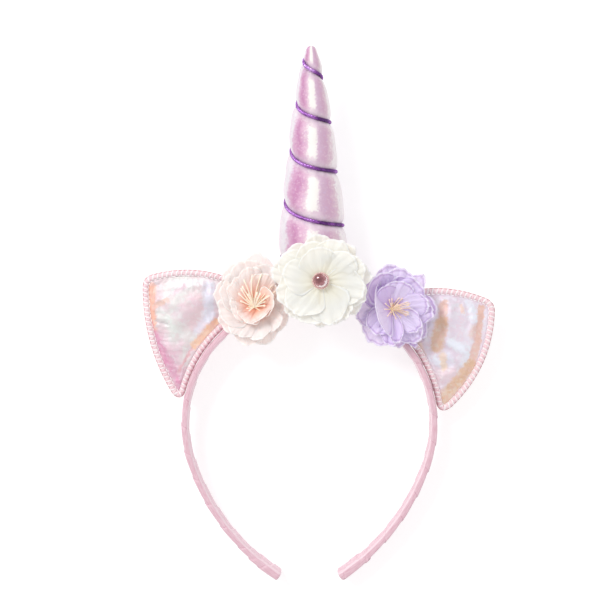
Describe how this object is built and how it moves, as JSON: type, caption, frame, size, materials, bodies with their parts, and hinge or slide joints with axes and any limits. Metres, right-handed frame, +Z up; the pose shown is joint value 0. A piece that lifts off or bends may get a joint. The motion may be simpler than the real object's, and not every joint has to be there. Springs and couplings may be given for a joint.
{
  "type": "unicorn horn headband",
  "caption": "Ribbon-wrapped costume headband with a cord-wound stuffed horn, padded ears and cloth flowers, lying on its back with its front face up.",
  "frame": {"origin": "middle of the bounding box's base, on the surface that the headband lies on", "axes": "+Y along the headband towards the horn's tip, +X to the right seen from the front, +Z up, the way the flowers face"},
  "size_m": [0.1754, 0.2656, 0.0425],
  "materials": {
    "ribbon": "pale pink satin ribbon",
    "pearl_lame": "iridescent pink-lilac lame cloth",
    "purple_cord": "metallic purple twisted cord",
    "ear_lame": "iridescent pearly lame cloth, creased",
    "braid": "pink braid with white stitches",
    "peach_cloth": "thin peach petal cloth",
    "ivory_cloth": "thin ivory petal cloth",
    "lilac_cloth": "thin lilac petal cloth",
    "filament": "cream stamens with round tips",
    "rose_stone": "cut and foiled rose stone"
  },
  "bodies": {
    "root": {"band": "ribbon", "horn": "pearl_lame", "horn_cord": "purple_cord", "ear_left": "ear_lame", "ear_left_trim": "braid", "ear_right": "ear_lame", "ear_right_trim": "braid", "flower_left_back": "peach_cloth", "flower_left_inner": "peach_cloth", "flower_left_cup": "peach_cloth", "flower_left_stamens": "filament", "flower_middle_back": "ivory_cloth", "flower_middle_inner": "ivory_cloth", "flower_middle_cup": "ivory_cloth", "gem": "rose_stone", "flower_right_back": "lilac_cloth", "flower_right_inner": "lilac_cloth", "flower_right_cup": "lilac_cloth", "flower_right_stamens": "filament"}
  },
  "joints": []
}
